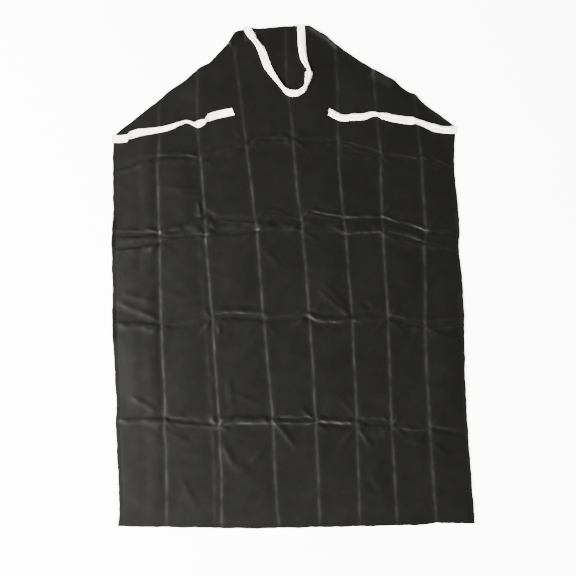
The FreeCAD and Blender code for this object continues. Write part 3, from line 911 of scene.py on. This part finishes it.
def add_stitching(name, edge, inwards, surface, materials):
    """The stitches of one sewn end: the first material on the front, the second underneath."""
    edge, inwards = np.array(edge), np.array(inwards)
    side = np.array([inwards[1], -inwards[0]])

    def place(flat):
        return edge + side * flat[0] + inwards * flat[1]

    vertices, faces, face_materials = [], [], []
    for start, end in stitch_lines():
        start, end = np.array(start), np.array(end)
        length = np.linalg.norm(end - start)
        run = (end - start) / length
        for number in range(int(length / STITCH_PITCH)):
            middle = start + run * (number + 0.5) * STITCH_PITCH
            levels = (height_below(surface, *place(middle)), TAB_UNDER - TAPE_THICK / 2)
            for material, level in enumerate(levels):
                stitch = stitch_faces(len(vertices))
                vertices += stitch_vertices(middle, run, level, place)
                faces += stitch
                face_materials += [material] * len(stitch)
    obj = new_object(name + "_seam", np.array(vertices) * MM, faces, materials, face_materials)
    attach(obj, "bib")
    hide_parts(name + "_stitching")


# ---------------- materials
def new_material(name, roughness, specular=0.5, **others):
    """A material's node tree and its main shader, with the values that are the same all over."""
    material = bpy.data.materials.new(name)
    material.use_nodes = True
    tree = material.node_tree
    shader = tree.nodes["Principled BSDF"]
    shader.inputs["Roughness"].default_value = roughness
    shader.inputs["Specular IOR Level"].default_value = specular
    for socket, value in others.items():
        shader.inputs[socket.replace("_", " ")].default_value = value
    return material, tree, shader


def node(tree, kind, inputs=(), **settings):
    made = tree.nodes.new(kind)
    for key, value in settings.items():
        setattr(made, key, value)
    for socket, value in dict(inputs).items():
        if isinstance(value, bpy.types.NodeSocket):
            tree.links.new(value, made.inputs[socket])
        else:
            made.inputs[socket].default_value = value
    return made


def noise(tree, where, scale, detail=2.0):
    made = node(tree, "ShaderNodeTexNoise", {"Vector": where, "Scale": scale, "Detail": detail})
    return made.outputs["Fac"]


def mixed(tree, share, first, second, blend_type="MIX"):
    made = node(tree, "ShaderNodeMix", data_type="RGBA", blend_type=blend_type)
    for socket, value in zip((0, 6, 7), (share, first, second)):
        if isinstance(value, bpy.types.NodeSocket):
            tree.links.new(value, made.inputs[socket])
        else:
            made.inputs[socket].default_value = value
    return made.outputs[2]


def ranged(tree, value, low, high, to_low, to_high):
    made = node(tree, "ShaderNodeMapRange", {"Value": value, "From Min": low, "From Max": high,
                                             "To Min": to_low, "To Max": to_high})
    return made.outputs["Result"]


def calculated(tree, operation, first, second=0.0):
    made = node(tree, "ShaderNodeMath", {0: first, 1: second}, operation=operation)
    return made.outputs[0]


def bumped(tree, shader, height, distance):
    made = node(tree, "ShaderNodeBump", {"Height": height, "Distance": distance, "Strength": 1.0})
    tree.links.new(made.outputs["Normal"], shader.inputs["Normal"])


def place_in(tree):
    return node(tree, "ShaderNodeTexCoord").outputs["Object"]


def attribute(tree, name, output):
    return node(tree, "ShaderNodeAttribute", attribute_name=name).outputs[output]


def rubber_material():
    """Black coated sheet: a fine grain, soft mottling, and a paler coat along the creases that is partly
    wear and partly a painted highlight on the crease ridges.
    """
    material, tree, shader = new_material("cover_rubber", 0.43, 0.19)
    where = place_in(tree)
    blotches = ranged(tree, noise(tree, where, 7.0, 4.0), 0.35, 0.7, 0.0, 1.0)
    coat = mixed(tree, blotches, (0.0019, 0.0019, 0.0016, 1), (0.0025, 0.0025, 0.0021, 1))
    patches = ranged(tree, noise(tree, where, 45.0, 3.0), 0.3, 0.7, 0.6, 1.15)
    # The paler coat along the creases: stress-whitened wear, and also a painted highlight on the crease
    # ridges.
    rubbed_and_highlighted = calculated(tree, "MULTIPLY", attribute(tree, "wear_and_highlight", "Fac"), patches)
    coat = mixed(tree, rubbed_and_highlighted, coat, (0.0051, 0.0052, 0.0047, 1))
    specks = ranged(tree, noise(tree, where, 260.0, 1.0), 0.73, 0.77, 0.0, 0.35)
    coat = mixed(tree, specks, coat, (0.02, 0.0185, 0.017, 1))
    tree.links.new(coat, shader.inputs["Base Color"])
    dullness = ranged(tree, noise(tree, where, 30.0, 3.0), 0.3, 0.7, 0.405, 0.455)
    tree.links.new(dullness, shader.inputs["Roughness"])
    coarse = calculated(tree, "MULTIPLY", noise(tree, where, 90.0, 3.0), 2.0)
    grain = calculated(tree, "ADD", noise(tree, where, 900.0, 2.0), coarse)
    bumped(tree, shader, grain, 0.00012)
    return material


def waves(tree, where, scale, direction):
    made = node(tree, "ShaderNodeTexWave", {"Vector": where, "Scale": scale}, bands_direction=direction)
    return made.outputs["Fac"]


def cloth_material():
    """Plain woven dark cloth on the back."""
    material, tree, shader = new_material("back_cloth", 0.85, 0.25, Sheen_Weight=0.15)
    where = place_in(tree)
    weave = calculated(tree, "MULTIPLY", waves(tree, where, 240.0, "X"), waves(tree, where, 240.0, "Y"))
    shade = mixed(tree, weave, (0.012, 0.012, 0.014, 1), (0.045, 0.045, 0.05, 1))
    dust = ranged(tree, noise(tree, where, 6.0, 4.0), 0.3, 0.7, 0.0, 0.35)
    shade = mixed(tree, dust, shade, (0.03, 0.028, 0.026, 1))
    tree.links.new(shade, shader.inputs["Base Color"])
    bumped(tree, shader, weave, 0.0002)
    return material


TWILL_BAND = 0.005      # metres


def tape_material():
    """Unbleached cotton tape in herringbone twill, four bands wide, a little soiled."""
    material, tree, shader = new_material("cotton_tape", 0.9, 0.2, Sheen_Weight=0.25)
    where = attribute(tree, "tape", "Vector")
    parts = node(tree, "ShaderNodeSeparateXYZ", {"Vector": where})
    band = calculated(tree, "PINGPONG", parts.outputs["Y"], TWILL_BAND)
    folded = node(tree, "ShaderNodeCombineXYZ", {"X": parts.outputs["X"], "Y": band}).outputs[0]
    twill = waves(tree, folded, 420.0, "DIAGONAL")
    shade = mixed(tree, twill, (0.80, 0.775, 0.73, 1), (0.95, 0.94, 0.905, 1))
    near_line = calculated(tree, "MINIMUM", band, calculated(tree, "SUBTRACT", TWILL_BAND, band))
    groove = ranged(tree, near_line, 0.0, 0.0007, 0.45, 0.0)
    shade = mixed(tree, groove, shade, (0.42, 0.38, 0.33, 1))
    soil = ranged(tree, noise(tree, place_in(tree), 22.0, 3.0), 0.4, 0.7, 0.0, 0.6)
    shade = mixed(tree, soil, shade, (0.62, 0.52, 0.44, 1))
    tree.links.new(shade, shader.inputs["Base Color"])
    fuzz = calculated(tree, "MULTIPLY", noise(tree, place_in(tree), 1500.0, 2.0), 0.5)
    bumped(tree, shader, calculated(tree, "ADD", twill, fuzz), 0.00025)
    return material


def thread_material(name, dark, light):
    """Twisted thread."""
    material, tree, shader = new_material(name, 0.7, 0.3, Sheen_Weight=0.2)
    strands = waves(tree, place_in(tree), 500.0, "DIAGONAL")
    tree.links.new(mixed(tree, strands, dark, light), shader.inputs["Base Color"])
    bumped(tree, shader, strands, 0.0001)
    return material


# ---------------- floor and light
FLOOR_SIZE = 8.0
LAMP_COLOUR = (1.0, 0.99, 0.95)


def add_floor():
    """A plain, nearly white floor that glows a little."""
    material, tree, shader = new_material("floor", 0.9, 0.1, Emission_Strength=5.0)
    shader.inputs["Emission Color"].default_value = (1, 1, 1, 1)
    tint = mixed(tree, noise(tree, place_in(tree), 0.8, 1.0), (0.88, 0.88, 0.88, 1), (0.9, 0.9, 0.9, 1))
    tree.links.new(tint, shader.inputs["Base Color"])
    half = FLOOR_SIZE / 2
    corners = [(-half, -half, 0), (half, -half, 0), (half, half, 0), (-half, half, 0)]
    floor = new_object("floor", corners, [[0, 1, 2, 3]], [material])


def add_light(name, location, size, power, glossy=True):
    """A square soft lamp that faces the apron. If not glossy, shiny surfaces don't mirror it."""
    data = bpy.data.lights.new(name, "AREA")
    data.shape = "SQUARE"
    data.size = size
    data.energy = power
    data.color = LAMP_COLOUR
    lamp = bpy.data.objects.new(name, data)
    lamp.location = location
    lamp.rotation_euler = (-Vector(location)).to_track_quat("-Z", "Y").to_euler()
    lamp.visible_camera = False
    lamp.visible_glossy = glossy
    bpy.context.collection.objects.link(lamp)


def add_world():
    """A soft surround, bright low down and dim overhead."""
    world = bpy.data.worlds.new("surround")
    world.use_nodes = True
    tree = world.node_tree
    way = node(tree, "ShaderNodeTexCoord").outputs["Generated"]
    up = node(tree, "ShaderNodeSeparateXYZ", {"Vector": way}).outputs["Z"]
    strength = ranged(tree, up, 0.05, 0.7, 1.7, 0.06)
    tree.nodes["Background"].inputs["Color"].default_value = (1, 1, 1, 1)
    tree.links.new(strength, tree.nodes["Background"].inputs["Strength"])
    bpy.context.scene.world = world


# ---------------- the apron
rubber = rubber_material()
cloth = cloth_material()
cotton = tape_material()
black_thread = thread_material("black_thread", (0.008, 0.008, 0.008, 1), (0.03, 0.03, 0.03, 1))
white_thread = thread_material("white_thread", (0.55, 0.52, 0.47, 1), (0.8, 0.78, 0.74, 1))

apron_upper, apron_lower = add_sheet([rubber, cloth])
sheet_surface = BVHTree.FromPolygons([vertex.co for vertex in apron_upper.data.vertices],
                                     [face.vertices for face in apron_upper.data.polygons])
for piece, above, below, hinge, parts in (
    (apron_upper, "bib", "middle_panel", MIDDLE_HINGE, ("upper", "middle")),
    (apron_lower, "middle_panel", "lower_panel", LOWER_HINGE, ("lower",)),
):
    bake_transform(piece)
    layers = ("front_cover_", "core_", "back_cover_")
    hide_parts(*[layer + part for layer in layers for part in parts])

tape_paths = {}
for body, route, sections, cut, length, far_end in (
    ("neck_loop", NECK_LOOP_ROUTE, NECK_SECTIONS, 0.0, 0.440, "object"),
    ("left_tie", LEFT_TIE_ROUTE, LEFT_SECTIONS, 0.2, 0.328, "bare"),
    ("right_tie", RIGHT_TIE_ROUTE, RIGHT_SECTIONS, 0.5, 0.338, "bare"),
):
    tape, path = add_tape(body + "_tape", route, sections, cut, sheet_surface, [cotton])
    tape_paths[body] = path
    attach(tape, body)
    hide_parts(body)

for name, body, route, end, inwards in TAB_ENDS:
    add_tab(name, route[end], inwards, tape_paths[body][end][2] / MM, [cotton])
    add_stitching(name, route[end], inwards, sheet_surface, [black_thread, white_thread])

add_floor()
add_world()
add_light("key", (-3.0, -0.8, 3.2), 2.5, 1300.0, glossy=False)
add_light("panel", (-5.0, -0.8, 2.5), 2.8, 2200.0)
add_light("hem_side", (-1.2, -4.4, 2.2), 2.0, 500.0)
add_light("fill", (2.4, 2.4, 1.6), 2.0, 15.0)
